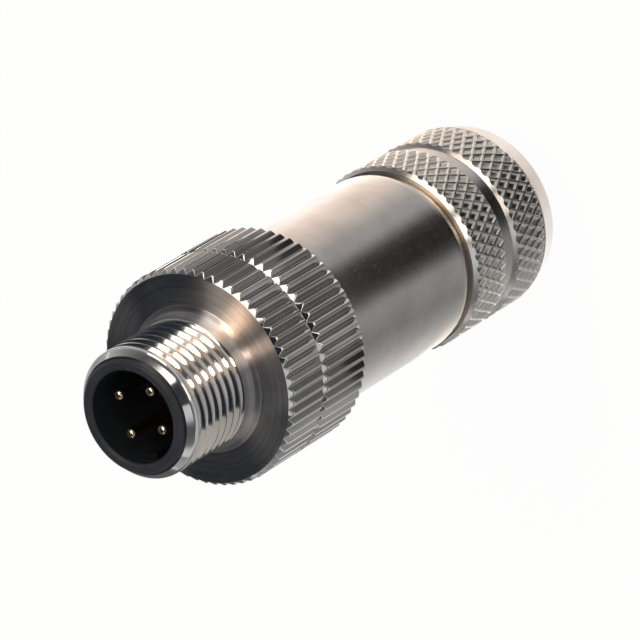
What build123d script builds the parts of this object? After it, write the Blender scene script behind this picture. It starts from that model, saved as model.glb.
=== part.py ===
from build123d import *
from math import cos, pi, radians, sin
import os

# Four-pole circular plug connector, M12x1, shielded and wired by hand.
# Millimetres. It stands on the rear face of its pressing nut: the origin is the middle of that
# face, +Z runs along the axis to the mating side, and the coding key faces -X.
# Radii are used throughout. Threads are plain cylinders at their crest.

# Whole plug
overall_length = 55.0        # rear face of the nut to the mating face

# Contact insert
lip_radius = 5.22            # front lip that stands in front of the threaded tube
lip_thickness = 0.53
lip_chamfer = 0.25
insert_radius = 4.92
insert_length = 22.6
cavity_radius = 4.22
cavity_depth = 9.0
cavity_chamfer = 0.25
key_width = 1.4              # coding key on the cavity wall
key_height = 0.65
key_setback = 0.9            # from the mating face
flat_distance = 4.55         # axis to each of the two flats that stop the insert turning

# Contact pins
pin_count = 4
pin_circle = 2.5
pin_radius = 0.5
pin_setback = 1.07           # from the mating face
pin_lead_length = 0.45       # tapered tip
pin_lead_depth = 0.2
barrel_radius = 1.2
barrel_length = 5.8
barrel_setback = 0.2         # inside the insert's rear face
wire_bore = 0.75
wire_bore_depth = 5.0
pin_clearance = 0.02

# Terminal screws
screw_radius = 0.65
screw_length = 1.75
screw_slot_width = 0.3
screw_slot_depth = 0.5
screw_height = 2.4           # screw axis above the barrel's rear end

# Coupling ring
thread_radius = 6.0          # M12x1, crest
tube_bore = 5.0
tube_end_radius = 5.4        # front end of the tube, where its bevel starts
tube_bevel_length = 0.8
lip_gap = 0.03               # running gap behind the insert's lip
thread_reach = 9.56          # mating face to the ring's front face
root_chamfer = 0.75
skirt_wall = 1.34            # outside the sleeve, to the crests of the ribs
ring_length = 11.3
ring_face_chamfer = 0.41
ring_rear_chamfer = 0.25
web_thickness = 2.0
ring_clearance = 0.1         # between the skirt and the sleeve
ring_play = 0.15             # between the web and the carrier
band_groove_depth = 0.42
band_groove_setback = 5.17   # ring's front face to the middle of the groove
rib_count = 62
rib_groove_depth = 0.38
front_rib_phase = 0.43       # degrees, a rib of the front band
rear_rib_phase = 2.79        # degrees, a rib of the rear band

# Insert carrier
carrier_flange = 1.5
carrier_bore_clearance = 0.03
carrier_thread_length = 5.5
carrier_recess_radius = 6.2
carrier_step = 3.0           # front face to the step that the clip rests on
carrier_land = 1.1           # height of the two-flat stretch of its bore

# Seals and clip
seal_groove_floor = 4.1
seal_groove_width = 1.0
seal_groove_setback = 0.5    # below the carrier's front face
seal_slack = 0.02
clip_groove_floor = 4.35
clip_thickness = 0.7
clip_slack = 0.04
clip_radius = 5.9
clip_opening = 50            # degrees
sleeve_seal_depth = 0.8      # groove below the carrier's thread
sleeve_seal_width = 1.1

# Housing sleeve
sleeve_radius = 8.56
sleeve_wall = 1.06           # outside the carrier's thread
carrier_thread_depth = 0.3   # down to the sleeve's plain bore
sleeve_edge_length = 0.7     # inward bevel of the rear edge
sleeve_edge_depth = 0.36
web_opening = 4.6
web_height = 1.5
thread_clearance = 0.03
rear_thread_step = 1.06      # sleeve's outside down to its M15x1 thread, crest
rear_thread_length = 5.5
rear_thread_chamfer = 0.4
chamber_wall = 1.1           # inside the rear thread
chamber_depth = 11.6

# Shield rings, cable seal and pinch ring
stack_clearance = 0.05       # round the rings and the seal
shield_ring_bore = 4.2
shield_ring_length = 1.6
shield_cone_rise = 0.8
shield_rim = 0.5
seal_bore = 3.65
seal_length = 6.3
seal_chamfer = 0.7
pinch_clearance = 0.1
pinch_gap = 0.1              # to the seal
pinch_collar = 1.7
pinch_bore = 3.9
finger_count = 8
finger_slot = 0.8
finger_tip_gap = 0.4         # to the nut's inner floor

# Pressing nut
nut_step = 0.36              # the nut's bands stand proud of the sleeve
nut_length = 14.65
nut_gap = 0.28               # to the sleeve's rear edge
nut_face_chamfer = 0.4
nut_band_length = 4.43
nut_groove_length = 2.15
nut_groove_depth = 0.37
tail_drop = 0.72             # from the bands to where the conical tail meets its rear chamfer
tail_chamfer = 0.7
nut_thread_clearance = 0.06
nut_thread_spare = 0.8       # below the sleeve's rear end, for tightening
cone_mouth_clearance = 0.15
cone_foot_radius = 5.1
cone_length = 3.83           # closing cone, from its mouth to the nut's inner floor
cable_bore = 4.4
cable_flare = 0.8

# Radii that follow from other pieces
ring_radius = sleeve_radius + ring_clearance + skirt_wall
carrier_thread_radius = sleeve_radius - sleeve_wall
sleeve_bore = carrier_thread_radius - carrier_thread_depth
sleeve_seal_floor = carrier_thread_radius - sleeve_seal_depth
rear_thread_radius = sleeve_radius - rear_thread_step
chamber_radius = rear_thread_radius - chamber_wall
nut_radius = sleeve_radius + nut_step
tail_radius = nut_radius - tail_drop
cone_mouth_radius = chamber_radius - pinch_clearance + cone_mouth_clearance

# Heights along the axis
mating_face = overall_length
cavity_floor = mating_face - cavity_depth
insert_rear = mating_face - insert_length
tube_front = mating_face - lip_thickness - lip_gap
ring_face = mating_face - thread_reach
ring_rear = ring_face - ring_length
web_rear = ring_face - web_thickness
carrier_front = web_rear - ring_play
carrier_back = carrier_front - carrier_flange
carrier_end = carrier_back - carrier_thread_length
clip_seat = carrier_front - carrier_step
land_top = clip_seat + carrier_land
seal_groove_top = carrier_front - seal_groove_setback
seal_groove_base = seal_groove_top - seal_groove_width
clip_groove_base = clip_seat - clip_thickness - clip_slack
barrel_rear = insert_rear + barrel_setback
barrel_front = barrel_rear + barrel_length
sleeve_rear = nut_length + nut_gap
sleeve_end = sleeve_rear - rear_thread_length
chamber_front = sleeve_end + chamber_depth
cable_seal_front = chamber_front - 2 * shield_ring_length
cable_seal_rear = cable_seal_front - seal_length
pinch_front = cable_seal_rear - pinch_gap
cone_mouth = sleeve_end - nut_thread_spare
floor_height = cone_mouth - cone_length


def turned(points):
    """Solid of revolution about Z of a closed outline of (radius, height) points."""
    outline = Polyline(*[(radius, 0, height) for radius, height in points], close=True)
    return revolve(make_face(outline), Axis.Z, 360)


def standing_cylinder(radius, low, high):
    """Cylinder on the axis between two heights."""
    return Pos(0, 0, low) * Cylinder(radius, high - low, align=(Align.CENTER, Align.CENTER, Align.MIN))


def edges_at(solid, radius, height):
    """The circular edges of a turned solid at one radius and height."""
    near = 0.001
    found = []
    for edge in solid.edges().filter_by(GeomType.CIRCLE):
        level = abs(edge.arc_center.Z - height) < near
        if level and abs(edge.radius - radius) < near:
            found.append(edge)
    return found


def faceted(levels, count, turn):
    """Solid with flat faces round the axis, through (distance of the flats, height) levels."""
    step = 2 * pi / count
    rings = []
    for distance, height in levels:
        corner = distance / cos(step / 2)
        angles = [turn + (number + 0.5) * step for number in range(count)]
        rings.append([(corner * cos(angle), corner * sin(angle), height) for angle in angles])
    faces = [Face(Wire.make_polygon(ring)) for ring in (rings[0], rings[-1])]
    for lower, upper in zip(rings, rings[1:]):
        for here in range(count):
            there = (here + 1) % count
            corners = [lower[here], lower[there], upper[there], upper[here]]
            faces.append(Face(Wire.make_polygon(corners)))
    return Solid(Shell(faces))


def pin_places():
    """Angles of the pins: the key at 180 degrees lies midway between two of them."""
    step = 360 / pin_count
    return [(number + 0.5) * step for number in range(pin_count)]


def make_contact_insert():
    """Moulded insert: rim, cavity with its key, bores for the pins, and the terminal block."""
    body = turned([
        (0, insert_rear), (insert_radius, insert_rear),
        (insert_radius, clip_groove_base), (clip_groove_floor, clip_groove_base),
        (clip_groove_floor, clip_seat), (insert_radius, clip_seat),
        (insert_radius, seal_groove_base), (seal_groove_floor, seal_groove_base),
        (seal_groove_floor, seal_groove_top), (insert_radius, seal_groove_top),
        (insert_radius, tube_front + lip_gap), (lip_radius, tube_front + lip_gap),
        (lip_radius, mating_face), (cavity_radius, mating_face),
        (cavity_radius, cavity_floor), (0, cavity_floor),
    ])
    body = chamfer(edges_at(body, lip_radius, mating_face), lip_chamfer)
    body = chamfer(edges_at(body, cavity_radius, mating_face), cavity_chamfer)

    key_top = mating_face - key_setback
    key_length = key_top - cavity_floor
    key_root = cavity_radius + (insert_radius - cavity_radius) / 2
    key = Pos(-key_root, 0, cavity_floor) * Box(
        key_root - cavity_radius + key_height, key_width, key_length,
        align=(Align.MIN, Align.CENTER, Align.MIN))
    body += key

    flat_height = land_top - insert_rear
    for side in (-1, 1):
        cut = Pos(0, side * flat_distance, insert_rear) * Box(
            2 * insert_radius, insert_radius, flat_height,
            align=(Align.CENTER, Align.MIN if side > 0 else Align.MAX, Align.MIN))
        body -= cut

    chamber_radius = barrel_radius + pin_clearance
    for angle in pin_places():
        bore = standing_cylinder(pin_radius + pin_clearance, barrel_front, cavity_floor)
        chamber = standing_cylinder(chamber_radius, insert_rear, barrel_front)
        open_side = Pos(0, 0, insert_rear) * Box(
            insert_radius, 2 * chamber_radius, barrel_front - insert_rear,
            align=(Align.MIN, Align.CENTER, Align.MIN))
        body -= Rot(0, 0, angle) * Pos(pin_circle, 0, 0) * (bore + chamber + open_side)
    return body


def make_contact_pin(angle):
    """Turned pin: shank with a lead-in, and a barrel bored for the wire and cross-bored for its screw."""
    pin_tip = mating_face - pin_setback
    pin = turned([
        (0, barrel_rear), (barrel_radius, barrel_rear), (barrel_radius, barrel_front),
        (pin_radius, barrel_front), (pin_radius, pin_tip - pin_lead_length),
        (pin_radius - pin_lead_depth, pin_tip), (0, pin_tip),
    ])
    pin -= standing_cylinder(wire_bore, barrel_rear, barrel_rear + wire_bore_depth)
    cross_bore = Pos(0, 0, barrel_rear + screw_height) * Rot(0, 90, 0) * Cylinder(
        screw_radius + pin_clearance, 2 * barrel_radius, align=(Align.CENTER, Align.CENTER, Align.MIN))
    pin -= cross_bore
    return Rot(0, 0, angle) * Pos(pin_circle, 0, 0) * pin


def make_terminal_screw(angle):
    """Headless slotted screw that lies across its barrel and reaches into the wire bore."""
    screw = Cylinder(screw_radius, screw_length, align=(Align.CENTER, Align.CENTER, Align.MIN))
    slot = Pos(0, 0, screw_length) * Box(
        3 * screw_radius, screw_slot_width, screw_slot_depth,
        align=(Align.CENTER, Align.CENTER, Align.MAX))
    screw -= slot
    place = Pos(pin_circle + wire_bore / 2, 0, barrel_rear + screw_height) * Rot(0, 90, 0)
    return Rot(0, 0, angle) * place * screw


def ribbed_band(levels, phase):
    """Straight-knurled band through (crest radius, height) levels, one flat face to each rib."""
    band = faceted(levels, rib_count, radians(phase))
    low, high = levels[0][1], levels[-1][1]
    overcut = 0.3
    depth = rib_groove_depth + overcut
    notch = make_face(Polyline((0, 0), (depth, depth), (depth, -depth), close=True))
    places = PolarLocations(ring_radius - rib_groove_depth, rib_count, start_angle=phase + 180 / rib_count)
    return band - Pos(0, 0, low) * extrude(Sketch() + [place * notch for place in places], high - low)


def make_coupling_ring():
    """Threaded tube and ring in one, knurled in two bands that a V groove parts."""
    groove_height = ring_face - band_groove_setback
    ring = ribbed_band([
        (ring_radius - ring_rear_chamfer, ring_rear), (ring_radius, ring_rear + ring_rear_chamfer),
        (ring_radius, groove_height - band_groove_depth),
        (ring_radius - band_groove_depth, groove_height),
    ], rear_rib_phase)
    ring += ribbed_band([
        (ring_radius - band_groove_depth, groove_height),
        (ring_radius, groove_height + band_groove_depth),
        (ring_radius, ring_face - ring_face_chamfer), (ring_radius - ring_face_chamfer, ring_face),
    ], front_rib_phase)

    ring += turned([
        (0, web_rear), (thread_radius + root_chamfer, web_rear),
        (thread_radius + root_chamfer, ring_face), (thread_radius, ring_face + root_chamfer),
        (thread_radius, tube_front - tube_bevel_length), (tube_end_radius, tube_front),
        (0, tube_front),
    ])
    ring -= standing_cylinder(tube_bore, web_rear, tube_front)
    return ring - standing_cylinder(sleeve_radius + ring_clearance, ring_rear, web_rear)


def make_insert_carrier():
    """Metal collar: flange, thread for the sleeve, two-flat bore and the step for the clip."""
    bore = insert_radius + carrier_bore_clearance
    carrier = turned([
        (0, carrier_front), (sleeve_radius, carrier_front), (sleeve_radius, carrier_back),
        (sleeve_seal_floor, carrier_back), (sleeve_seal_floor, carrier_back - sleeve_seal_width),
        (carrier_thread_radius, carrier_back - sleeve_seal_width),
        (carrier_thread_radius, carrier_end), (carrier_recess_radius, carrier_end),
        (carrier_recess_radius, clip_seat), (0, clip_seat),
    ])
    carrier -= standing_cylinder(bore, land_top, carrier_front)
    land_width = 2 * (flat_distance + carrier_bore_clearance)
    between_flats = Pos(0, 0, clip_seat) * Box(
        2 * sleeve_radius, land_width, carrier_land, align=(Align.CENTER, Align.CENTER, Align.MIN))
    return carrier - (standing_cylinder(bore, clip_seat, land_top) & between_flats)


def make_o_ring(inner, outer, base, top):
    """Rubber ring, squeezed to fill its groove, with its outer corners rounded off."""
    corner = (top - base) / 4
    return turned([(inner, base), (outer - corner, base), (outer, base + corner),
                   (outer, top - corner), (outer - corner, top), (inner, top)])


def make_insert_seal():
    """O-ring in the insert's groove, against the carrier's bore."""
    return make_o_ring(seal_groove_floor + seal_slack, insert_radius + carrier_bore_clearance - seal_slack,
                       seal_groove_base + seal_slack, seal_groove_top - seal_slack)


def make_sleeve_seal():
    """O-ring at the root of the carrier's thread, against the sleeve's bore."""
    return make_o_ring(sleeve_seal_floor + seal_slack, carrier_thread_radius + thread_clearance - seal_slack,
                       carrier_back - sleeve_seal_width + seal_slack, carrier_back - seal_slack)


def make_retaining_clip():
    """Open spring ring in the insert's groove, under the carrier's step."""
    inner = clip_groove_floor + clip_slack
    top = clip_seat - clip_slack / 2
    clip = turned([(inner, top - clip_thickness), (clip_radius, top - clip_thickness),
                   (clip_radius, top), (inner, top)])
    reach = 2 * clip_radius
    half = clip_opening * pi / 360
    wedge = make_face(Polyline(
        (0, 0), (reach * cos(half), -reach * sin(half)), (reach * cos(half), reach * sin(half)), close=True))
    return clip - Pos(0, 0, top - clip_thickness) * extrude(wedge, clip_thickness)


def make_housing_sleeve():
    """Smooth sleeve: thread for the carrier in front, chamber for the cable parts behind."""
    front_bore = carrier_thread_radius + thread_clearance
    web_front = chamber_front + web_height
    sleeve = turned([
        (front_bore, carrier_back), (sleeve_radius, carrier_back),
        (sleeve_radius, sleeve_rear + sleeve_edge_length),
        (sleeve_radius - sleeve_edge_depth, sleeve_rear), (rear_thread_radius, sleeve_rear),
        (rear_thread_radius, sleeve_end), (chamber_radius, sleeve_end),
        (chamber_radius, chamber_front), (web_opening, chamber_front), (web_opening, web_front),
        (sleeve_bore, web_front), (sleeve_bore, carrier_end), (front_bore, carrier_end),
    ])
    end_chamfer = min(rear_thread_chamfer, (rear_thread_radius - chamber_radius) / 2)
    return chamfer(edges_at(sleeve, rear_thread_radius, sleeve_end), end_chamfer)


def make_shield_ring_front():
    """Front ring of the braid clamp, hollow cone facing rearward."""
    outer = chamber_radius - stack_clearance
    rear = chamber_front - shield_ring_length
    return turned([
        (shield_ring_bore, chamber_front), (outer, chamber_front), (outer, rear),
        (outer - shield_rim, rear), (shield_ring_bore, rear + shield_cone_rise),
    ])


def make_shield_ring_rear():
    """Rear ring of the braid clamp: its cone seats in the front ring's."""
    outer = chamber_radius - stack_clearance
    front = chamber_front - shield_ring_length
    return turned([
        (shield_ring_bore, cable_seal_front), (outer, cable_seal_front), (outer, front),
        (outer - shield_rim, front), (shield_ring_bore, front + shield_cone_rise),
    ])


def make_cable_seal():
    """Rubber grommet with chamfered ends."""
    outer = chamber_radius - stack_clearance
    return turned([
        (seal_bore, cable_seal_front), (outer - seal_chamfer, cable_seal_front),
        (outer, cable_seal_front - seal_chamfer), (outer, cable_seal_rear + seal_chamfer),
        (outer - seal_chamfer, cable_seal_rear), (seal_bore, cable_seal_rear),
    ])


def cone_radius(height):
    """Radius of the nut's inner cone at a height."""
    slope = (cone_mouth_radius - cone_foot_radius) / (cone_mouth - floor_height)
    return cone_foot_radius + slope * (height - floor_height)


def make_pinch_ring():
    """Clamping basket: collar in the sleeve's chamber and slotted fingers in the nut's cone."""
    outer = chamber_radius - pinch_clearance
    tip = floor_height + finger_tip_gap
    basket = turned([
        (pinch_bore, pinch_front), (outer, pinch_front), (outer, cone_mouth),
        (cone_radius(tip) - cone_mouth_clearance, tip), (pinch_bore, tip),
    ])
    slot_top = pinch_front - pinch_collar
    slot_count = finger_count // 2
    for number in range(slot_count):
        slot = Pos(0, 0, tip) * Box(
            3 * outer, finger_slot, slot_top - tip, align=(Align.CENTER, Align.CENTER, Align.MIN))
        basket -= Rot(0, 0, number * 180 / slot_count) * slot
    return basket


def make_pressing_nut():
    """Nut with two raised bands, a plain groove, a conical tail, and the cone that closes the fingers."""
    front_edge = nut_length - nut_face_chamfer
    first_band_end = front_edge - nut_band_length
    second_band_start = first_band_end - nut_groove_length
    second_band_end = second_band_start - nut_band_length
    groove_radius = nut_radius - nut_groove_depth
    thread_bore = rear_thread_radius + nut_thread_clearance
    nut = turned([
        (thread_bore, nut_length), (nut_radius - nut_face_chamfer, nut_length),
        (nut_radius, front_edge), (nut_radius, first_band_end),
        (groove_radius, first_band_end - nut_groove_depth),
        (groove_radius, second_band_start + nut_groove_depth),
        (nut_radius, second_band_start), (nut_radius, second_band_end),
        (tail_radius, tail_chamfer), (tail_radius - tail_chamfer, 0),
        (cable_bore, 0), (cable_bore, floor_height),
        (cone_foot_radius, floor_height), (cone_mouth_radius, cone_mouth), (thread_bore, cone_mouth),
    ])
    return chamfer(edges_at(nut, cable_bore, 0), cable_flare)


def make_pieces():
    """Every piece of the plug by its name."""
    pieces = {
        "contact_insert": make_contact_insert(),
        "coupling_ring": make_coupling_ring(),
        "insert_carrier": make_insert_carrier(),
        "insert_seal": make_insert_seal(),
        "retaining_clip": make_retaining_clip(),
        "sleeve_seal": make_sleeve_seal(),
        "housing_sleeve": make_housing_sleeve(),
        "shield_ring_front": make_shield_ring_front(),
        "shield_ring_rear": make_shield_ring_rear(),
        "cable_seal": make_cable_seal(),
        "pinch_ring": make_pinch_ring(),
        "pressing_nut": make_pressing_nut(),
    }
    for number, angle in enumerate(pin_places(), start=1):
        pieces[f"contact_pin_{number}"] = make_contact_pin(angle)
        pieces[f"terminal_screw_{number}"] = make_terminal_screw(angle)
    return pieces


os.makedirs("parts", exist_ok=True)
for name, piece in make_pieces().items():
    export_step(piece, f"parts/{name}.step")
    print(name, "volume", round(piece.volume, 2))
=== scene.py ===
from math import ceil, cos, pi, radians, sin, sqrt

import bmesh
import bpy
from mathutils import Matrix, Vector


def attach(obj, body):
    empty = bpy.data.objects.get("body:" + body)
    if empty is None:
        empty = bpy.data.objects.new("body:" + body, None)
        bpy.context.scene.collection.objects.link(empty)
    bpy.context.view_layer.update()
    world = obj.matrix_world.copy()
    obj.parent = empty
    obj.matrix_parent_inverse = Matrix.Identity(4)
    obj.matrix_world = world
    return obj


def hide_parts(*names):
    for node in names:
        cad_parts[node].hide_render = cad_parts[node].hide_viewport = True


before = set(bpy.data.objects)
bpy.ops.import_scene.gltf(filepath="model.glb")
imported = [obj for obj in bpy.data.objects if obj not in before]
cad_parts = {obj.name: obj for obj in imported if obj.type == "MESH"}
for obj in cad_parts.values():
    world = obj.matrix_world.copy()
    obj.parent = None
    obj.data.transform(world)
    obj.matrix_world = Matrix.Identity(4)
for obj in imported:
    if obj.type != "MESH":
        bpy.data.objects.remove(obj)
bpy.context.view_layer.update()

mm = 0.001


# small tools for meshes, with lengths in mm

meshCare = {
    "weld": 0.0004, "sliver": 0.0002,      # closer vertices are joined, shorter edges dissolved
    "cornerSteps": 4,                      # parts of the arc that softens a corner
    "cornerShare": 0.3,                    # the most of a side that the arc takes
    "cornerGuard": 1.35,                   # the guard point's distance against the arc's end
}


def addObject(name, data):
    made = bpy.data.objects.new(name, data)
    bpy.context.scene.collection.objects.link(made)
    return made


def finishMesh(name, mesh, sharpAngle):
    work = bmesh.new()
    work.from_mesh(mesh)
    bmesh.ops.remove_doubles(work, verts=work.verts, dist=meshCare["weld"] * mm)
    bmesh.ops.dissolve_degenerate(work, edges=work.edges, dist=meshCare["sliver"] * mm)
    bmesh.ops.recalc_face_normals(work, faces=work.faces)
    work.to_mesh(mesh)
    work.free()
    mesh.shade_smooth()
    mesh.set_sharp_from_angle(angle=radians(sharpAngle))
    return addObject(name, mesh)


def meshObject(name, vertices, faces, sharpAngle):
    mesh = bpy.data.meshes.new(name)
    mesh.from_pydata([tuple(c * mm for c in v) for v in vertices], [], faces)
    return finishMesh(name, mesh, sharpAngle)


def polar(radius, angle, height):
    return (radius * cos(angle), radius * sin(angle), height)


def softCorners(points, size, closed):
    # each corner becomes a small arc, with a guard point at each end so that flats stay flat
    count = len(points)
    steps = meshCare["cornerSteps"]
    result = []
    for number, (x, y) in enumerate(points):
        if not closed and number in (0, count - 1):
            result.append((x, y))
            continue
        ax, ay = points[number - 1]
        bx, by = points[(number + 1) % count]
        before = sqrt((ax - x) ** 2 + (ay - y) ** 2)
        after = sqrt((bx - x) ** 2 + (by - y) ** 2)
        cut = min(size, meshCare["cornerShare"] * before, meshCare["cornerShare"] * after)
        guard = meshCare["cornerGuard"] * cut
        ux, uy = (ax - x) / before, (ay - y) / before
        vx, vy = (bx - x) / after, (by - y) / after
        result.append((x + ux * guard, y + uy * guard))
        for step in range(steps + 1):
            t = step / steps
            s = 1 - t
            result.append((x + ux * cut * s * s + vx * cut * t * t,
                           y + uy * cut * s * s + vy * cut * t * t))
        result.append((x + vx * guard, y + vy * guard))
    return result


def turnedPiece(name, outline, segments=256, soft=0.05, closed=True, sharpAngle=28):
    # an outline of (radius, height) turned round the plug's axis
    points = softCorners(outline, soft, closed)
    rows = len(points)
    spans = rows if closed else rows - 1
    vertices = []
    faces = []
    for number in range(segments):
        angle = 2 * pi * number / segments
        vertices += [polar(radius, angle, height) for radius, height in points]
        here, there = number * rows, (number + 1) % segments * rows
        for row in range(spans):
            above = (row + 1) % rows
            faces.append((here + row, there + row, there + above, here + above))
    return meshObject(name, vertices, faces, sharpAngle)


def place(piece, body, slotName, material, *nodes):
    # the piece rides on a body and stands in for the CAD nodes
    piece.data.materials.clear()
    piece.data.materials.append(material)
    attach(piece, body)
    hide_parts(*nodes)


# small tools for materials

def startMaterial(name):
    material = bpy.data.materials.new(name)
    material.use_nodes = True
    tree = material.node_tree
    return material, tree, tree.nodes["Principled BSDF"]


def addNode(tree, kind, **settings):
    node = tree.nodes.new(kind)
    for key, value in settings.items():
        if key in node.inputs:
            node.inputs[key].default_value = value
        else:
            setattr(node, key, value)
    return node


def mathOf(tree, operation, first, second=None):
    node = addNode(tree, "ShaderNodeMath", operation=operation)
    for socket, value in zip(node.inputs, (first, second)):
        if isinstance(value, (int, float)):
            socket.default_value = value
        elif value is not None:
            tree.links.new(value, socket)
    return node.outputs[0]


def noiseOf(tree, coordinates, scale, detail=3, roughness=0.55):
    noise = addNode(tree, "ShaderNodeTexNoise", Scale=scale, Detail=detail, Roughness=roughness)
    tree.links.new(coordinates, noise.inputs["Vector"])
    return noise.outputs["Fac"]


def rampOf(tree, value, stops):
    ramp = tree.nodes.new("ShaderNodeValToRGB")
    elements = ramp.color_ramp.elements
    while len(elements) < len(stops):
        elements.new(0.5)
    for element, (position, colour) in zip(elements, stops):
        element.position = position
        element.color = (*colour, 1)
    tree.links.new(value, ramp.inputs["Fac"])
    return ramp.outputs["Color"]


def rangeOf(tree, value, low, high, start=0.0, end=1.0):
    span = addNode(tree, "ShaderNodeMapRange")
    span.inputs["From Min"].default_value = start
    span.inputs["From Max"].default_value = end
    span.inputs["To Min"].default_value = low
    span.inputs["To Max"].default_value = high
    tree.links.new(value, span.inputs["Value"])
    return span.outputs["Result"]


def shadeOf(tree, colour, share):
    # the colour, darkened where the share is below 1
    shade = addNode(tree, "ShaderNodeVectorMath", operation="SCALE")
    tree.links.new(colour, shade.inputs[0])
    tree.links.new(share, shade.inputs["Scale"])
    return shade.outputs[0]


def bevelOf(tree, radius):
    # rounds sharp edges in the shading
    if not radius:
        return None
    return addNode(tree, "ShaderNodeBevel", samples=4, Radius=radius).outputs["Normal"]


def bumpOf(tree, height, strength, distance, normal=None):
    bump = addNode(tree, "ShaderNodeBump", Strength=strength, Distance=distance)
    tree.links.new(height, bump.inputs["Height"])
    if normal is not None:
        tree.links.new(normal, bump.inputs["Normal"])
    return bump.outputs["Normal"]


def objectPlace(tree):
    return tree.nodes.new("ShaderNodeTexCoord").outputs["Object"]


def splitPlace(tree):
    split = tree.nodes.new("ShaderNodeSeparateXYZ")
    tree.links.new(objectPlace(tree), split.inputs[0])
    return split.outputs


def radiusOf(tree):
    # how far the point is from the plug's axis
    level = addNode(tree, "ShaderNodeVectorMath", operation="MULTIPLY")
    level.inputs[1].default_value = (1, 1, 0)
    tree.links.new(objectPlace(tree), level.inputs[0])
    reach = addNode(tree, "ShaderNodeVectorMath", operation="LENGTH")
    tree.links.new(level.outputs[0], reach.inputs[0])
    return reach.outputs["Value"]


def bandRadius(tree, pits):
    # the radius with the 45 degree chamfers of two equal bands evened out, so that only the
    # pits count as deep
    fromMiddle = mathOf(tree, "SUBTRACT", splitPlace(tree)["Z"], pits["middle"])
    fromBand = mathOf(tree, "SUBTRACT", mathOf(tree, "ABSOLUTE", fromMiddle), pits["apart"])
    past = mathOf(tree, "SUBTRACT", mathOf(tree, "ABSOLUTE", fromBand), pits["halfBand"])
    return mathOf(tree, "ADD", radiusOf(tree), mathOf(tree, "MAXIMUM", past, 0.0))


def cylinderPlace(tree, around, along):
    # wraps the object's place round its axis, so that a texture follows the turning marks
    split = splitPlace(tree)
    angle = mathOf(tree, "ARCTAN2", split["Y"], split["X"])
    joined = tree.nodes.new("ShaderNodeCombineXYZ")
    tree.links.new(mathOf(tree, "MULTIPLY", angle, around), joined.inputs["X"])
    tree.links.new(mathOf(tree, "MULTIPLY", radiusOf(tree), along), joined.inputs["Y"])
    tree.links.new(mathOf(tree, "MULTIPLY", split["Z"], along), joined.inputs["Z"])
    return joined.outputs[0]


# nickel plating, in one finish for each way that the metal was worked; some finishes also carry
# painted light and shade in their colours

nickelTexture = {
    # noise scales are per metre, so a higher one is finer
    "cloud": 260, "cloudStops": (0.25, 0.6),
    "smear": 900,
    "grain": 9000, "bump": 0.004 * mm,
    "lineRound": 1.2, "line": 4200, "lineSpan": (0.36, 0.62),
    "markRound": 1.5, "mark": 14000,
    "speck": 8200, "speckSpan": (0.745, 0.81), "speckMetallic": 0.76,
}

nickelFinishAndPaintedLight = {
    "satin": {"roughness": (0.17, 0.23), "grain": 0.16, "turning": 0.14, "lines": 0.05,
              "specks": True},
    "bright": {"roughness": (0.10, 0.17), "grain": 0.05, "edge": 0.035 * mm},
    "grip": {"roughness": (0.05, 0.09), "smearDetail": 1,
             # pits: painted shade in the floors of the grip's grooves
             "pits": {"low": 9.64 * mm, "high": 9.82 * mm, "floorShade": 0.92}},
    # turned faces: base colours darker than the rest of the plating, as painted shade
    "turned": {"roughness": (0.30, 0.37), "turning": 0.10, "anisotropic": 1.0, "lines": 0.28,
               "light": (0.76, 0.73, 0.71), "dark": (0.54, 0.53, 0.55)},
    # the nut's face: a warmer base colour than the rest of the plating, as painted warm light
    "nutFace": {"roughness": (0.36, 0.43), "turning": 0.10, "anisotropic": 0.96, "lines": 0.24,
                "light": (0.87, 0.78, 0.68), "dark": (0.7, 0.62, 0.55)},
    "thread": {"roughness": (0.08, 0.13), "grain": 0.05, "turning": 0.15, "edge": 0.02 * mm},
    "knurl": {"roughness": (0.15, 0.24), "grain": 0.12,
              # a lighter base colour than the rest of the plating, as painted light
              "light": (0.94, 0.91, 0.87), "dark": (0.86, 0.82, 0.775),
              # pits: painted shade in the floors of the knurl's pits
              "pits": {"low": 8.69 * mm, "high": 8.79 * mm, "floorShade": 0.85,
                       "middle": 8.745 * mm, "apart": 3.29 * mm, "halfBand": 2.215 * mm}},
}


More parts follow.
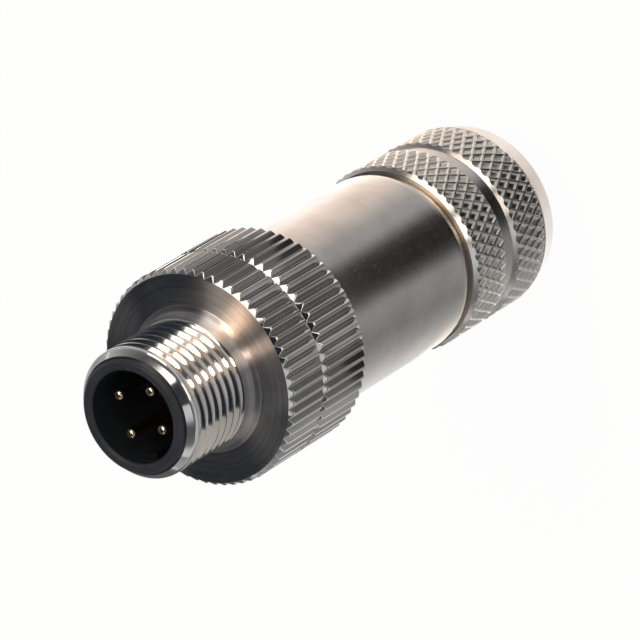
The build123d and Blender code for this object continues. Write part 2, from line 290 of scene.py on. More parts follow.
def nickelMaterial(name, roughness, light=(0.83, 0.805, 0.785), dark=(0.69, 0.67, 0.65),
                   grain=0.0, turning=0.0, anisotropic=0.0, edge=0.0, lines=0.0,
                   specks=False, pits=None, smearDetail=5):
    look = nickelTexture
    material, tree, shader = startMaterial(name)
    shader.inputs["Metallic"].default_value = 1.0
    where = objectPlace(tree)
    start, end = look["cloudStops"]
    colour = rampOf(tree, noiseOf(tree, where, look["cloud"], 4), [(start, dark), (end, light)])
    if lines:
        # fine turning marks, a little darker than the metal round them
        tracks = noiseOf(tree, cylinderPlace(tree, look["lineRound"], look["line"]), 1.0, 4, 0.7)
        colour = shadeOf(tree, colour, rangeOf(tree, tracks, 1 - lines, 1.0, *look["lineSpan"]))
    if pits:
        # painted shade: darker towards the floors of the cuts, where shade falls in the recesses
        reach = bandRadius(tree, pits) if "middle" in pits else radiusOf(tree)
        colour = shadeOf(tree, colour, rangeOf(tree, reach, pits["floorShade"], 1.0,
                                               pits["low"], pits["high"]))
    tree.links.new(colour, shader.inputs["Base Color"])
    if specks:
        dust = noiseOf(tree, where, look["speck"], 0)
        tree.links.new(rangeOf(tree, dust, 1.0, look["speckMetallic"], *look["speckSpan"]),
                       shader.inputs["Metallic"])
    smear = noiseOf(tree, where, look["smear"], smearDetail)
    tree.links.new(rangeOf(tree, smear, *roughness), shader.inputs["Roughness"])
    normal = bevelOf(tree, edge)
    if grain:
        fine = noiseOf(tree, where, look["grain"], 2)
        normal = bumpOf(tree, fine, grain, look["bump"], normal)
    if turning:
        marks = noiseOf(tree, cylinderPlace(tree, look["markRound"], look["mark"]), 1.0, 3, 0.6)
        normal = bumpOf(tree, marks, turning, look["bump"], normal)
    if normal is not None:
        tree.links.new(normal, shader.inputs["Normal"])
    if anisotropic:
        shader.inputs["Anisotropic"].default_value = anisotropic
        shader.inputs["Anisotropic Rotation"].default_value = 0.25     # smears across the marks
        around = addNode(tree, "ShaderNodeTangent", direction_type="RADIAL", axis="Z")
        tree.links.new(around.outputs["Tangent"], shader.inputs["Tangent"])
    return material


satinNickel = nickelMaterial("satinNickel", **nickelFinishAndPaintedLight["satin"])
brightNickel = nickelMaterial("brightNickel", **nickelFinishAndPaintedLight["bright"])
gripNickel = nickelMaterial("gripNickel", **nickelFinishAndPaintedLight["grip"])
turnedNickel = nickelMaterial("turnedNickel", **nickelFinishAndPaintedLight["turned"])
nutFaceNickel = nickelMaterial("nutFaceNickel", **nickelFinishAndPaintedLight["nutFace"])
threadNickel = nickelMaterial("threadNickel", **nickelFinishAndPaintedLight["thread"])
knurlNickel = nickelMaterial("knurlNickel", **nickelFinishAndPaintedLight["knurl"])


# moulded plastic and rubber

plasticTexture = {
    "patch": 500, "patchStops": (0.3, 0.7), "deepShare": 0.72,
    "smear": 1500,
    "grain": 6000, "grainStrength": 0.12, "bump": 0.004 * mm,
    "paintedCavityShade": 0.2, "insideBlend": 0.2 * mm, "insideSpecular": 0.28,
}

plasticFinishAndCavityShade = {
    "insert": {"colour": (0.030, 0.037, 0.048), "roughness": (0.3, 0.42), "edge": 0.05 * mm,
               # inside: the radius within which the colour gets painted shade
               "inside": 4.15 * mm},
    "rubber": {"colour": (0.02, 0.02, 0.021), "roughness": (0.55, 0.7)},
    "grey": {"colour": (0.05, 0.052, 0.056), "roughness": (0.4, 0.5)},
}


def plasticMaterial(name, colour, roughness, edge=0.0, inside=None):
    look = plasticTexture
    material, tree, shader = startMaterial(name)
    where = objectPlace(tree)
    start, end = look["patchStops"]
    deep = tuple(look["deepShare"] * c for c in colour)
    paint = rampOf(tree, noiseOf(tree, where, look["patch"], 4), [(start, deep), (end, colour)])
    if inside:
        # painted shade: deeper black inside the cavity, where shade falls
        share = rangeOf(tree, radiusOf(tree), look["paintedCavityShade"], 1.0,
                        inside, inside + look["insideBlend"])
        paint = shadeOf(tree, paint, share)
        shader.inputs["Specular IOR Level"].default_value = look["insideSpecular"]
    tree.links.new(paint, shader.inputs["Base Color"])
    smear = noiseOf(tree, where, look["smear"])
    tree.links.new(rangeOf(tree, smear, *roughness), shader.inputs["Roughness"])
    grain = noiseOf(tree, where, look["grain"])
    normal = bumpOf(tree, grain, look["grainStrength"], look["bump"], bevelOf(tree, edge))
    tree.links.new(normal, shader.inputs["Normal"])
    return material


blackPlastic = plasticMaterial("blackPlastic", **plasticFinishAndCavityShade["insert"])
blackRubber = plasticMaterial("blackRubber", **plasticFinishAndCavityShade["rubber"])
greyPlastic = plasticMaterial("greyPlastic", **plasticFinishAndCavityShade["grey"])
print("materials made")


# coupling ring: ribbed grip in two bands, turned face, threaded tube

ringSizes = {
    "radius": 10.0, "face": 45.44, "rear": 34.14, "faceEdge": 9.59, "rearEdge": 9.75,
    "grooveHeight": 40.27, "grooveRadius": 9.58,
    "ribs": 62, "ribDepth": 0.38, "crestRound": 0.09, "rootRound": 0.05, "edgeRound": 0.09,
    "frontPhase": 0.43, "rearPhase": 2.79,             # degrees
    "arcSteps": 4, "flatGuard": 0.15, "edgeGuard": 1.6, "rearGuard": 0.1,
    "skirtBore": 8.66, "skirtLap": 0.4, "skirtFace": 9.1, "webRear": 43.44,
    "tubeBore": 5.0, "tubeSeam": 54.2,
    # (radius, height) down the fillet at the foot of the tube
    "neck": [(6.0, 46.8), (6.0, 46.45), (6.08, 46.1), (6.3, 45.72), (6.72, 45.52), (6.8, 45.44)],
}


def ribProfile(phase):
    # (angle, radius) round the ring: flat crest, rounded shoulders, V groove, rounded bottom
    ring = ringSizes
    pitch = 2 * pi / ring["ribs"]
    half = ring["radius"] * pitch / 2
    crest, root, depth = ring["crestRound"], ring["rootRound"], ring["ribDepth"]
    flat = half - depth - (sqrt(2) - 1) * (crest + root)
    steps, guard = ring["arcSteps"], ring["flatGuard"]
    side = []
    for step in range(steps + 1):
        turn = radians(45 * step / steps)
        side.append((flat + crest * sin(turn), crest * (1 - cos(turn))))
    for step in range(steps, -1, -2):
        turn = radians(45 * step / steps)
        side.append((half - root * sin(turn), depth - root * (1 - cos(turn))))
    # guard points near both ends of the flank and the crest keep them flat
    (ax, ay), (bx, by) = side[steps], side[steps + 1]
    side[steps + 1:steps + 1] = [(ax + t * (bx - ax), ay + t * (by - ay))
                                 for t in (guard, 1 - guard)]
    side.insert(0, ((1 - guard) * flat, 0))
    marks = [(-offset, drop) for offset, drop in reversed(side)] + side[:-1]
    profile = []
    for rib in range(ring["ribs"]):
        middle = radians(phase) + rib * pitch
        for offset, drop in marks:
            profile.append((middle + offset / ring["radius"], ring["radius"] - drop))
    return profile


def roundedEdge(radius, height, foot, rise):
    # (radius, height) points from a 45 degree chamfer over a small arc to the rib's own line
    soft = min(ringSizes["edgeRound"], (radius - foot) / 2)
    guard = ringSizes["edgeGuard"] * soft
    return [(radius - guard, height + rise * guard), (radius - soft, height + rise * soft),
            (radius - soft / 4, height),
            (radius, height - rise * soft), (radius, height - rise * guard)]


def frontLevels(radius):
    # from the ring's face down to the groove
    ring = ringSizes
    foot, bottom = ring["faceEdge"], ring["grooveRadius"]
    top = roundedEdge(radius, ring["face"] - (radius - foot), foot, 1)
    end = roundedEdge(radius, ring["grooveHeight"] + (radius - bottom), bottom, -1)
    return [(foot, ring["face"]), *top, *reversed(end), (bottom, ring["grooveHeight"])]


def rearLevels(radius):
    # from the groove down to the skirt's rear face
    ring = ringSizes
    bottom, rear = ring["grooveRadius"], ring["rear"]
    edge = min(radius, ring["rearEdge"])
    top = roundedEdge(radius, ring["grooveHeight"] - (radius - bottom), bottom, 1)
    return [(bottom, ring["grooveHeight"]), *top,
            (radius, rear + (radius - edge) + ring["rearGuard"]), (radius, rear + (radius - edge)),
            (edge, rear), (ring["skirtBore"] + ring["skirtLap"], rear)]


def gripBand(name, phase, levelsAt):
    profile = ribProfile(phase)
    count = len(profile)
    rows = len(levelsAt(ringSizes["radius"]))
    vertices = []
    faces = []
    for number, (angle, radius) in enumerate(profile):
        vertices += [polar(r, angle, z) for r, z in levelsAt(radius)]
        here, there = number * rows, (number + 1) % count * rows
        faces += [(here + row, there + row, there + row + 1, here + row + 1)
                  for row in range(rows - 1)]
    return meshObject(name, vertices, faces, sharpAngle=24)


def makeRing():
    ring = ringSizes
    place(gripBand("coupling_ring_grip_front", ring["frontPhase"], frontLevels), "coupling",
          "nickel_plated_brass", gripNickel, "coupling_ring")
    place(gripBand("coupling_ring_grip_rear", ring["rearPhase"], rearLevels), "coupling",
          "nickel_plated_brass", gripNickel, "coupling_ring")
    outline = ring["neck"] + [(ring["faceEdge"], ring["face"])]
    place(turnedPiece("coupling_ring_face", outline, closed=False), "coupling",
          "nickel_plated_brass", turnedNickel, "coupling_ring")
    outline = [(ring["skirtFace"], ring["rear"]), (ring["skirtBore"], ring["rear"]),
               (ring["skirtBore"], ring["webRear"]), (ring["tubeBore"], ring["webRear"]),
               (ring["tubeBore"], ring["tubeSeam"])]
    inside = turnedPiece("coupling_ring_inside", outline, segments=160, soft=0.08, closed=False)
    place(inside, "coupling", "nickel_plated_brass", satinNickel, "coupling_ring")


makeRing()

threadSizes = {
    "crest": 6.0, "root": 5.4, "pitch": 1.0, "segments": 160,
    "crestShare": 0.13, "flankShare": 0.35, "crestGuard": 0.03, "rootGuard": 0.02,
    "neck": 46.8, "neckTop": 47.1, "fadeStart": 53.1, "fadeEnd": 53.5,
    "bevelEnd": 53.74, "front": 54.44, "frontRadius": 5.4, "noseRound": 0.14,
}


def threadForm(share):
    # depth share at a share of the pitch: crest flat, flank, rounded root, flank
    flank = threadSizes["flankShare"]
    start = threadSizes["crestShare"] / 2
    end = 1 - start
    if share <= start or share >= end:
        return 0.0
    return min(1.0, (share - start) / flank, (end - share) / flank)


def threadRadius(height, share):
    t = threadSizes
    runIn = (height - t["neck"]) / (t["neckTop"] - t["neck"])
    runOut = (t["fadeEnd"] - height) / (t["fadeEnd"] - t["fadeStart"])
    fade = min(1.0, max(0.0, runIn), max(0.0, runOut))
    radius = t["crest"] - (t["crest"] - t["root"]) * threadForm(share) * fade
    slope = (t["crest"] - t["frontRadius"]) / (t["front"] - t["bevelEnd"])
    nose = t["frontRadius"] + slope * (t["front"] - height)
    blend = max(0.0, 1 - abs(radius - nose) / t["noseRound"])
    return min(radius, nose) - blend * blend * t["noseRound"] / 4     # runs softly into the bevel


def threadedTube():
    t = threadSizes
    crest, flank = t["crestShare"] / 2, t["flankShare"]
    half = [crest, crest + t["crestGuard"], crest + flank / 2, crest + flank - t["rootGuard"],
            crest + flank]
    marks = [0.0, *half, 0.5, *(1 - mark for mark in reversed(half))]
    low, high = t["neck"], t["front"]
    rows = [turn + mark for turn in range(-2, ceil(high - low) + 3) for mark in marks]
    size = len(rows)
    count = t["segments"]
    vertices = []
    faces = []
    for number in range(count):
        angle = 2 * pi * number / count
        for row in rows:
            height = low + (row + number / count) * t["pitch"]
            clamped = min(max(height, low), high)
            share = (row + (clamped - height)) % 1.0
            vertices.append(polar(threadRadius(clamped, share), angle, clamped))
        here, there = number * size, (number + 1) % count * size
        shift = 0 if number < count - 1 else len(marks)     # the last column joins one turn on
        for row in range(size - 1 - shift):
            faces.append((here + row, there + row + shift, there + row + shift + 1, here + row + 1))
    return meshObject("coupling_ring_thread", vertices, faces, sharpAngle=40)


def makeTube():
    bore, t = ringSizes["tubeBore"], threadSizes
    place(threadedTube(), "coupling", "nickel_plated_brass", threadNickel, "coupling_ring")
    outline = [(t["frontRadius"], t["front"]), (bore, t["front"]), (bore, ringSizes["tubeSeam"])]
    end = turnedPiece("coupling_ring_tube_end", outline, segments=160, soft=0.03, closed=False)
    place(end, "coupling", "nickel_plated_brass", threadNickel, "coupling_ring")


makeTube()
print("coupling ring made")


# housing sleeve

sleeveSizes = {
    # (radius, height) round the wall, from the front edge down the outside and up the bore
    "outline": [(7.53, 41.79), (8.56, 41.79), (8.56, 16.2), (8.52, 15.75), (8.2, 14.93),
                (7.5, 14.93), (7.5, 9.83), (7.1, 9.43), (6.4, 9.43), (6.4, 21.03), (4.6, 21.03),
                (4.6, 22.53), (7.2, 22.53), (7.2, 36.29), (7.53, 36.29)],
}

place(turnedPiece("housing_sleeve_shell", sleeveSizes["outline"]), "plug_body",
      "nickel_plated_brass", satinNickel, "housing_sleeve")
print("housing sleeve made")


# pressing nut: body turned, knurl of recessed diamonds on both bands

nutSizes = {
    "radius": 8.92, "front": 14.65, "chamfer": 0.4, "bandLength": 4.43, "grooveLength": 2.15,
    "grooveDepth": 0.37, "tail": 8.2, "tailChamfer": 0.7,
    "faceEdge": 8.53, "faceBack": 14.5,
    # how the body runs on under the knurled sheets, so that no gap shows
    "bodyFront": 14.6, "bodyCorner": [(8.48, 14.6), (8.5, 14.3)],
    "lap": 0.05, "seam": 0.01, "rearStep": 0.3, "tailStep": 0.07,
    # the inside: thread, cone for the pinch ring, cable entry
    "threadBore": 7.56, "coneTop": (6.45, 8.63), "coneFoot": (5.1, 4.8), "entry": 4.4,
    "entryFlare": 0.8,
    "pits": 49, "rowStep": 1.025, "depth": 0.23,
    "edgeFade": 0.28, "edgeRim": 0.1, "edgeLeast": 0.35,          # pits are shallow at the edges
    # (share of the way from the pit's middle to the ridge, share of the depth), ridge first
    "form": [(1, 0), (0.93, 0.05), (0.84, 0.16), (0.74, 0.32), (0.64, 0.55), (0.48, 0.95),
             (0.42, 1)],
    "frontRow": 10.4, "rearRow": 6.5, "turn": 14.82,
    "weld": 0.0005, "onPlane": 0.001,
}


def addPit(work, x, y, width, lowStart, highStart):
    # one diamond in the flat sheet (round, up, depth), as loops from its ridge to its floor
    nut = nutSizes
    loops = []
    for share, sunk in nut["form"]:
        loops.append([])
        for a, b in ((1, 0), (0, 1), (-1, 0), (0, -1)):
            up = y + b * share * nut["rowStep"]
            fade = (min(up - lowStart, highStart - up) + nut["edgeRim"]) / nut["edgeFade"]
            depth = nut["depth"] * sunk * min(1, max(nut["edgeLeast"], fade))
            loops[-1].append(work.verts.new((x + a * share * width / 2, up, depth)))
    for outer, within in zip(loops, loops[1:]):
        for here in range(4):
            there = (here + 1) % 4
            work.faces.new((outer[here], outer[there], within[there], within[here]))
    work.faces.new(loops[-1])


def cutChamfer(work, edge, chamfer, direction):
    # a slanting plane cuts the pits, and the rim that it leaves runs on down to its foot
    def onPlane(vertex):
        return abs(direction * (vertex.co.y - edge) - vertex.co.z) < nutSizes["onPlane"]

    bmesh.ops.bisect_plane(work, geom=work.verts[:] + work.edges[:] + work.faces[:], dist=1e-5,
                           plane_co=(0, edge, 0), plane_no=(0, direction, -1), clear_outer=True)
    rim = [e for e in work.edges if e.is_boundary and all(onPlane(v) for v in e.verts)]
    for piece in bmesh.ops.extrude_edge_only(work, edges=rim)["geom"]:
        if isinstance(piece, bmesh.types.BMVert):
            piece.co.y = edge + direction * chamfer
            piece.co.z = chamfer


def knurledBand(name, lowEdge, highEdge, rowHeight):
    # each edge is (height where its chamfer starts, chamfer depth)
    nut = nutSizes
    width = 2 * pi * nut["radius"] / nut["pits"]
    low, high = lowEdge[0] - lowEdge[1], highEdge[0] + highEdge[1]
    startRow = int((low - rowHeight) / nut["rowStep"]) - 2
    endRow = int((high - rowHeight) / nut["rowStep"]) + 3
    work = bmesh.new()
    for row in range(startRow, endRow):
        shift = 0.5 * (row % 2)
        for pit in range(nut["pits"]):
            addPit(work, (pit + shift) * width, rowHeight + row * nut["rowStep"], width,
                   lowEdge[0], highEdge[0])
    bmesh.ops.remove_doubles(work, verts=work.verts, dist=nut["weld"])
    cutChamfer(work, *lowEdge, -1)
    cutChamfer(work, *highEdge, 1)
    for vertex in work.verts:
        angle = vertex.co.x / nut["radius"] + radians(nut["turn"])
        vertex.co = Vector(polar(nut["radius"] - vertex.co.z, angle, vertex.co.y)) * mm
    mesh = bpy.data.meshes.new(name)
    work.to_mesh(mesh)
    work.free()
    return finishMesh(name, mesh, sharpAngle=22)


def makeNut():
    nut = nutSizes
    edge = nut["front"] - nut["chamfer"]
    firstEnd = edge - nut["bandLength"]
    secondStart = firstEnd - nut["grooveLength"]
    secondEnd = secondStart - nut["bandLength"]
    tailEdge = secondEnd - nut["depth"]
    front = knurledBand("pressing_nut_knurl_front", (firstEnd, nut["grooveDepth"]),
                        (edge, nut["chamfer"]), nut["frontRow"])
    place(front, "nut", "nickel_plated_brass", knurlNickel, "pressing_nut")
    rear = knurledBand("pressing_nut_knurl_rear", (secondEnd, nut["depth"]),
                       (secondStart, nut["grooveDepth"]), nut["rearRow"])
    place(rear, "nut", "nickel_plated_brass", knurlNickel, "pressing_nut")

    bore, entry, flare = nut["threadBore"], nut["entry"], nut["entryFlare"]
    groove = nut["radius"] - nut["grooveDepth"]
    under = nut["radius"] - nut["depth"] - nut["lap"]
    outline = [
        (bore, nut["bodyFront"]), *nut["bodyCorner"], (groove - nut["lap"], firstEnd),
        (groove, firstEnd - nut["grooveDepth"] + nut["seam"]),
        (groove, secondStart + nut["grooveDepth"] - nut["seam"]),
        (groove - nut["lap"], secondStart),
        (under, secondEnd + nut["rearStep"]), (under, tailEdge),
        (nut["radius"] - nut["tailStep"], tailEdge),
        (nut["tail"], nut["tailChamfer"]), (nut["tail"] - nut["tailChamfer"], 0),
        (entry + flare, 0), (entry, flare), (entry, nut["coneFoot"][1]),
        nut["coneFoot"], nut["coneTop"], (bore, nut["coneTop"][1]),
    ]
    place(turnedPiece("pressing_nut_body", outline), "nut", "nickel_plated_brass", satinNickel,
          "pressing_nut")
    outline = [(bore, nut["faceBack"]), (bore, nut["front"]), (nut["faceEdge"], nut["front"])]
    place(turnedPiece("pressing_nut_face", outline, soft=0.03, closed=False), "nut",
          "nickel_plated_brass", nutFaceNickel, "pressing_nut")


makeNut()
print("pressing nut made")


# contact pins: domed tips, barrels bored for the wires

pinSizes = {
    "circle": 2.5, "radius": 0.5, "tip": 53.93, "dome": 0.36, "domeSteps": 8,
    "barrel": 1.2, "barrelRear": 32.6, "barrelFront": 38.4,
    "bore": 0.75, "boreDepth": 5.0, "crossBore": 0.67, "crossHeight": 35.0,
}

goldFinish = {
    "light": (0.95, 0.83, 0.62), "dark": (0.86, 0.70, 0.46), "roughness": (0.12, 0.2),
    "cloud": 1200, "smear": 2500, "grain": 8000, "grainStrength": 0.05, "bump": 0.003 * mm,
}


def goldMaterial():
    gold = goldFinish
    material, tree, shader = startMaterial("goldPlating")
    shader.inputs["Metallic"].default_value = 1.0
    where = objectPlace(tree)
    cloud, smear = noiseOf(tree, where, gold["cloud"]), noiseOf(tree, where, gold["smear"])
    tree.links.new(rampOf(tree, cloud, [(0.3, gold["dark"]), (0.7, gold["light"])]),
                   shader.inputs["Base Color"])
    tree.links.new(rangeOf(tree, smear, *gold["roughness"]), shader.inputs["Roughness"])
    grain = noiseOf(tree, where, gold["grain"], 2)
    tree.links.new(bumpOf(tree, grain, gold["grainStrength"], gold["bump"]),
                   shader.inputs["Normal"])
    return material


goldPlating = goldMaterial()


def drillAcross(piece):
    # the way of the terminal screw into the barrel
    pin = pinSizes
    cutterMesh = bpy.data.meshes.new("crossBore")
    work = bmesh.new()
    bmesh.ops.create_cone(work, cap_ends=True, segments=32, radius1=pin["crossBore"] * mm,
                          radius2=pin["crossBore"] * mm, depth=2 * pin["barrel"] * mm)
    moved = Matrix.Translation((pin["barrel"] * mm, 0, pin["crossHeight"] * mm))
    bmesh.ops.transform(work, matrix=moved @ Matrix.Rotation(pi / 2, 4, "Y"), verts=work.verts)
    work.to_mesh(cutterMesh)
    work.free()
    cutter = addObject("crossBore", cutterMesh)
    cut = piece.modifiers.new("crossBore", "BOOLEAN")
    cut.operation = "DIFFERENCE"
    cut.object = cutter
    cut.solver = "EXACT"
    bpy.context.view_layer.update()
    seen = piece.evaluated_get(bpy.context.evaluated_depsgraph_get())
    drilled = bpy.data.meshes.new_from_object(seen)
    piece.modifiers.clear()
    piece.data = drilled
    bpy.data.objects.remove(cutter)


def makePin(number):
    pin = pinSizes
    boreEnd = pin["barrelRear"] + pin["boreDepth"]
    outline = [(0, boreEnd), (pin["bore"], boreEnd), (pin["bore"], pin["barrelRear"]),
               (pin["barrel"], pin["barrelRear"]), (pin["barrel"], pin["barrelFront"]),
               (pin["radius"], pin["barrelFront"])]
    for step in range(pin["domeSteps"]):
        turn = pi / 2 * step / pin["domeSteps"]
        height = pin["tip"] - pin["dome"] + pin["dome"] * sin(turn)
        outline.append((pin["radius"] * cos(turn), height))
    outline.append((0, pin["tip"]))
    piece = turnedPiece(f"pin_{number}", outline, segments=48, soft=0.03, closed=False,
                        sharpAngle=35)
    drillAcross(piece)
    turned = Matrix.Rotation(radians(90 * number - 45), 4, "Z")
    piece.data.transform(turned @ Matrix.Translation((pin["circle"] * mm, 0, 0)))
    place(piece, "plug_body", "gold_contact", goldPlating, f"contact_pin_{number}")


for pinNumber in range(1, 5):
    makePin(pinNumber)
print("pins made")


# CAD pieces that keep their own shape

keptNodes = {
    "contact_insert": blackPlastic,
    "insert_carrier": satinNickel,
    "shield_ring_front": satinNickel,
    "shield_ring_rear": satinNickel,
    "retaining_clip": brightNickel,
    "insert_seal": blackRubber,
    "sleeve_seal": blackRubber,
    "cable_seal": blackRubber,
    "pinch_ring": greyPlastic,
    "terminal_screw_1": brightNickel,
    "terminal_screw_2": brightNickel,
    "terminal_screw_3": brightNickel,
    "terminal_screw_4": brightNickel,
}
for nodeName, nodeMaterial in keptNodes.items():
    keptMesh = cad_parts[nodeName].data
    if not keptMesh.materials:
        keptMesh.materials.append(nodeMaterial)
    for slotNumber in range(len(keptMesh.materials)):
        keptMesh.materials[slotNumber] = nodeMaterial
print("CAD pieces finished")


# studio: pale floor, cards and boards that the metal reflects, lamps, room, camera

studio = {
    "floorSize": 3.0,
    "floorHeight": -4.2 * mm,              # low enough for the nut when it is screwed back
    "floorColour": (0.9, 0.9, 0.9),
    "whiteShare": 0.96,
    "diffuseWorld": (0.5, 0.5, 0.5),
    # what the metal sees of the room: (height of the direction, colour)
    "room": [(-0.2, (0.5, 0.5, 0.5)), (0.05, (0.38, 0.38, 0.38)), (0.2, (0.22, 0.22, 0.22)),
             (0.38, (0.09, 0.09, 0.092)), (0.6, (0.016, 0.023, 0.032)),
             (1.0, (0.012, 0.019, 0.028))],
}


def glowMaterial(name):
    material, tree, shader = startMaterial(name)
    glow = addNode(tree, "ShaderNodeEmission", Strength=1.0)
    tree.links.new(glow.outputs["Emission"], tree.nodes["Material Output"].inputs["Surface"])
    return material, tree, glow


def flatObject(name, vertices, faces, material):
    mesh = bpy.data.meshes.new(name)
    mesh.from_pydata(vertices, [], faces)
    mesh.materials.append(material)
    return addObject(name, mesh)


def onlyReflected(piece):
    piece.visible_camera = False
    piece.visible_diffuse = False
    piece.visible_shadow = False


def makeFloor():
    # white to the camera and to the metal, with the object's shadow from the matt share
    material, tree, shader = startMaterial("paleFloor")
    shader.inputs["Roughness"].default_value = 0.8
    shader.inputs["Specular IOR Level"].default_value = 0.1
    shader.inputs["Base Color"].default_value = (*studio["floorColour"], 1)
    glow = addNode(tree, "ShaderNodeEmission", Strength=1.0, Color=(1, 1, 1, 1))
    path = tree.nodes.new("ShaderNodeLightPath").outputs
    seen = mathOf(tree, "MAXIMUM", path["Is Camera Ray"], path["Is Glossy Ray"])
    seen = mathOf(tree, "MAXIMUM", seen, path["Is Transmission Ray"])
    mix = tree.nodes.new("ShaderNodeMixShader")
    tree.links.new(mathOf(tree, "MULTIPLY", seen, studio["whiteShare"]), mix.inputs["Fac"])
    tree.links.new(shader.outputs["BSDF"], mix.inputs[1])
    tree.links.new(glow.outputs["Emission"], mix.inputs[2])
    tree.links.new(mix.outputs["Shader"], tree.nodes["Material Output"].inputs["Surface"])
    half, low = studio["floorSize"] / 2, studio["floorHeight"]
    corners = [(-half, -half, low), (half, -half, low), (half, half, low), (-half, half, low)]
    floor = flatObject("floor", corners, [(0, 1, 2, 3)], material)


# cards on the table round the plug, seen only in the metal, as a photographer shapes reflections

cardLook = {
    "height": 0.02, "steps": 72,
    "seam": 72,                            # azimuth in degrees where the stops start and end
    "lessGreen": 0.14, "lessBlue": 0.24,   # at a warmth of 1
}

# inner and outer radius in mm, and stops of (azimuth in degrees, brightness, warmth)
tableCards = [
    {"name": "tailCard", "inner": 8.3, "outer": 9.6, "stops": [
        (72, 1.1, 0.5), (88, 0.98, 0.9), (104, 0.8, 0.9), (116, 0.64, 0.3), (144, 0.83, 0),
        (176, 1.06, 0), (208, 1.12, 0), (240, 1.1, 0.2), (256, 0.98, 0.3), (272, 0.82, 0.5),
        (288, 0.77, 0.7), (304, 0.95, 0.8), (320, 1.06, 0.5), (352, 1.06, 0.9), (392, 1.08, 0.8),
        (416, 1.12, 0.7)]},
    {"name": "nearCard", "inner": 9.6, "outer": 20, "stops": [
        (72, 1.7, 0.2), (110, 1.2, 0.1), (150, 1.5, 0.5), (176, 1.2, 0.7), (196, 0.6, 0.3),
        (224, 0.32, 0), (254, 0.24, 0), (268, 0.04, 0), (286, 0.01, 0), (302, 0.03, 0),
        (320, 0.46, 0.2), (352, 0.8, 0.8), (370, 1.1, 1.1), (390, 1.5, 0.9), (420, 1.75, 0.4)]},
    {"name": "middleCard", "inner": 20, "outer": 39, "stops": [
        (72, 1.27, 0), (88, 0.99, 0), (104, 0.76, 0), (116, 0.95, 0), (128, 1.03, 0),
        (144, 0.87, 0.1), (160, 0.76, 0.2), (176, 0.63, 0.3), (192, 0.42, 0), (208, 0.3, 0),
        (224, 0.22, 0), (240, 0.27, 0), (256, 0.3, 0), (270, 0.06, 0), (280, 0.02, 0),
        (296, 0.02, 0), (306, 0.05, 0), (320, 0.34, 0), (336, 0.39, 0.3), (352, 0.63, 0.8),
        (368, 0.86, 1.1), (384, 1.08, 1.1), (400, 1.32, 0.8), (416, 1.2, 0.3)]},
    {"name": "ringCard", "inner": 39, "outer": 50, "stops": [
        (72, 4.4, 0.5), (84, 4.0, 0.4), (96, 2.4, 0.3), (119, 0.85, 0), (135, 0.88, 0.2),
        (150, 0.98, 0.4), (165, 0.88, 0.5), (177, 0.72, 0.4), (190, 0.47, 0), (204, 0.35, 0),
        (235, 0.26, 0), (248, 0.33, 0), (258, 0.33, 0), (269, 0.17, 0), (285, 0.11, 0),
        (295, 0.12, 0), (306, 0.1, 0), (320, 0.2, 0), (332, 0.37, 0.2), (345, 0.42, 0.4),
        (353, 0.3, 0.9), (362, 0.08, 1.6), (376, 0.03, 1.7), (388, 0.02, 1.7), (398, 0.1, 1.5),
        (409, 0.5, 0.8), (420, 1.7, 0.5)]},
    {"name": "farCard", "inner": 50, "outer": 78, "stops": [
        (72, 1.4, 0.4), (88, 1.1, 0.3), (97, 0.5, 0), (113, 0.3, 0), (130, 0.45, 0), (150, 0.5, 0),
        (170, 0.5, 0.2), (196, 0.36, 0), (224, 0.26, 0), (256, 0.26, 0), (272, 0.12, 0),
        (286, 0.08, 0), (302, 0.09, 0), (316, 0.16, 0), (330, 0.34, 0), (344, 0.4, 0.2),
        (364, 0.2, 0.9), (390, 0.2, 0.9), (420, 1.0, 0.7)]},
    {"name": "wideCard", "inner": 78, "outer": 160, "stops": [
        (72, 0.5, 0), (100, 0.35, 0), (120, 0.12, 0), (165, 0.12, 0), (200, 0.4, 0), (240, 0.5, 0),
        (340, 0.6, 0), (396, 0.6, 0.2), (414, 0.6, 0)]},
    {"name": "edgeCard", "inner": 160, "outer": 900, "stops": [
        (72, 0.35, 0), (100, 0.3, 0), (125, 0.12, 0), (165, 0.12, 0), (200, 0.4, 0), (240, 0.5, 0),
        (330, 0.6, 0), (390, 0.45, 0), (420, 0.4, 0)]},
]


def makeCard(card):
    look = cardLook
    steps, seam = look["steps"], look["seam"]
    material, tree, glow = glowMaterial(card["name"])
    sweep = addNode(tree, "ShaderNodeTexGradient", gradient_type="RADIAL")
    tree.links.new(objectPlace(tree), sweep.inputs["Vector"])
    first = card["stops"][0]
    stops = []
    for azimuth, level, warmth in card["stops"] + [(seam + 360, first[1], first[2])]:
        colour = (level, level * (1 - look["lessGreen"] * warmth),
                  level * (1 - look["lessBlue"] * warmth))
        stops.append(((azimuth - seam) / 360, colour))
    tree.links.new(rampOf(tree, sweep.outputs["Fac"], stops), glow.inputs["Color"])
    vertices = []
    faces = []
    for step in range(steps):
        angle = 2 * pi * step / steps
        for radius in (card["inner"], card["outer"]):
            vertices.append(polar(radius * mm, angle, look["height"] * mm))
        here, there = 2 * step, 2 * ((step + 1) % steps)
        faces.append((here, here + 1, there + 1, there))
    piece = flatObject(card["name"], vertices, faces, material)
    piece.rotation_euler.z = radians(seam - 180)       # the gradient starts on the far side
    onlyReflected(piece)


# pale glowing boards that stand close by in two places, seen only in the metal, for the nut's edge
# and the sleeve's bevel to catch

boardLook = {"distance": 66, "colour": (1.0, 0.9, 0.8)}

# azimuth in degrees, then mm
boardList = [
    {"name": "frontLowBoard", "azimuth": 281, "width": 26, "low": 3, "high": 58, "bright": 0.7},
    {"name": "frontHighBoard", "azimuth": 281, "width": 30, "low": 58, "high": 71, "bright": 2.4},
    {"name": "sideLowBoard", "azimuth": 341, "width": 30, "low": 3, "high": 48, "bright": 0.9},
    {"name": "sideHighBoard", "azimuth": 341, "width": 36, "low": 48, "high": 72, "bright": 2.2},
]


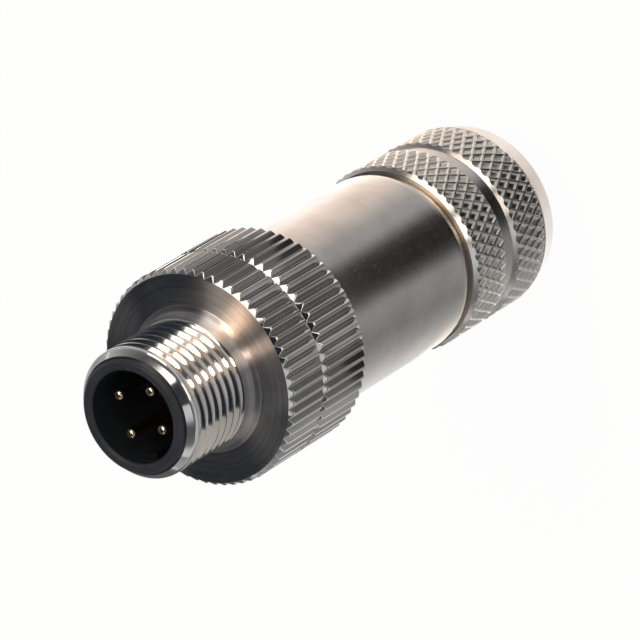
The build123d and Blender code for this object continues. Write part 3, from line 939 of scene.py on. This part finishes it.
def makeBoard(board):
    azimuth = radians(board["azimuth"])
    middle = Vector(polar(boardLook["distance"], azimuth, 0))
    along = Vector((-sin(azimuth), cos(azimuth), 0)) * board["width"] / 2
    vertices = [(*(corner.xy * mm), height * mm) for corner in (middle - along, middle + along)
                for height in (board["low"], board["high"])]
    material, tree, glow = glowMaterial(board["name"])
    glow.inputs["Color"].default_value = (*(board["bright"] * c for c in boardLook["colour"]), 1)
    piece = flatObject(board["name"], vertices, [(0, 2, 3, 1)], material)
    onlyReflected(piece)


# lamps: azimuth and elevation in degrees, distance and size in metres

lampAim = Vector((0, 0, 30 * mm))

lampList = [
    {"name": "topBox", "azimuth": 278, "elevation": 68, "distance": 0.6,
     "size": (0.045, 0.1), "bright": 25.0, "colour": (1.0, 0.77, 0.6)},
    {"name": "sideHotBox", "azimuth": 343, "elevation": 65, "distance": 0.6,
     "size": (0.09, 0.17), "bright": 19.0, "colour": (1.0, 0.66, 0.43)},
    {"name": "sideBox", "azimuth": 0, "elevation": 52, "distance": 0.6,
     "size": (0.24, 0.17), "bright": 2.8, "colour": (1.0, 0.93, 0.84)},
    {"name": "lowBox", "azimuth": 331, "elevation": 38, "distance": 0.6,
     "size": (0.52, 0.14), "bright": 1.7, "colour": (1.0, 0.94, 0.87)},
    {"name": "leftHighBox", "azimuth": 236, "elevation": 36, "distance": 0.6,
     "size": (0.46, 0.13), "bright": 0.6, "colour": (0.96, 0.98, 1.0)},
    {"name": "leftTopBox", "azimuth": 176, "elevation": 39, "distance": 0.6,
     "size": (0.36, 0.3), "bright": 0.42, "colour": (1.0, 0.92, 0.83)},
    {"name": "leftBox", "azimuth": 203, "elevation": 13, "distance": 0.7,
     "size": (0.5, 0.1), "bright": 0.42, "colour": (0.96, 0.98, 1.0)},
]


def makeLamp(item):
    data = bpy.data.lights.new(item["name"], "AREA")
    data.shape = "RECTANGLE"
    data.size, data.size_y = item["size"]
    data.energy = pi * data.size * data.size_y * item["bright"]     # watts for this brightness
    data.color = item["colour"]
    azimuth, elevation = radians(item["azimuth"]), radians(item["elevation"])
    away = Vector(polar(cos(elevation), azimuth, sin(elevation)))
    lamp = addObject(item["name"], data)
    lamp.location = lampAim + away * item["distance"]
    lamp.rotation_euler = away.to_track_quat("Z", "Y").to_euler()


def makeWorld():
    # the camera sees white, the metal sees a room that is pale low down and dim above, and the
    # rest gets even light
    world = bpy.data.worlds.new("studio")
    bpy.context.scene.world = world
    world.use_nodes = True
    tree = world.node_tree
    even = tree.nodes["Background"]
    even.inputs["Color"].default_value = (*studio["diffuseWorld"], 1)
    split = tree.nodes.new("ShaderNodeSeparateXYZ")
    tree.links.new(tree.nodes.new("ShaderNodeTexCoord").outputs["Generated"], split.inputs[0])
    height = rangeOf(tree, split.outputs["Z"], 0, 1, -1, 1)
    stops = [((level + 1) / 2, colour) for level, colour in studio["room"]]
    room = addNode(tree, "ShaderNodeBackground", Strength=1.0)
    tree.links.new(rampOf(tree, height, stops), room.inputs["Color"])
    white = addNode(tree, "ShaderNodeBackground", Strength=1.0, Color=(1, 1, 1, 1))
    path = tree.nodes.new("ShaderNodeLightPath")
    metal = tree.nodes.new("ShaderNodeMixShader")
    tree.links.new(path.outputs["Is Glossy Ray"], metal.inputs["Fac"])
    tree.links.new(even.outputs[0], metal.inputs[1])
    tree.links.new(room.outputs[0], metal.inputs[2])
    mix = tree.nodes.new("ShaderNodeMixShader")
    tree.links.new(path.outputs["Is Camera Ray"], mix.inputs["Fac"])
    tree.links.new(metal.outputs[0], mix.inputs[1])
    tree.links.new(white.outputs[0], mix.inputs[2])
    tree.links.new(mix.outputs[0], tree.nodes["World Output"].inputs["Surface"])


cameraView = {
    "lens": 292.4, "sensor": 36, "near": 0.01, "far": 20,
    "place": (94.11, -287.84, 374.65),                 # mm
    "right": (-0.28806, -0.77474, -0.56285), "forward": (-0.20668, 0.62421, -0.75343),
}


def makeCamera():
    view = cameraView
    data = bpy.data.cameras.new("camera")
    data.lens = view["lens"]
    data.sensor_width = view["sensor"]
    data.clip_start, data.clip_end = view["near"], view["far"]
    camera = addObject("camera", data)
    bpy.context.scene.camera = camera
    right = Vector(view["right"]).normalized()
    forward = Vector(view["forward"]).normalized()
    right = (right - forward * right.dot(forward)).normalized()
    turn = Matrix((right, right.cross(forward), -forward)).transposed()
    camera.matrix_world = Matrix.Translation(Vector(view["place"]) * mm) @ turn.to_4x4()


makeFloor()
for cardItem in tableCards:
    makeCard(cardItem)
for boardItem in boardList:
    makeBoard(boardItem)
for lampItem in lampList:
    makeLamp(lampItem)
makeWorld()
makeCamera()
bpy.context.scene.view_settings.view_transform = "Standard"
print("studio made")
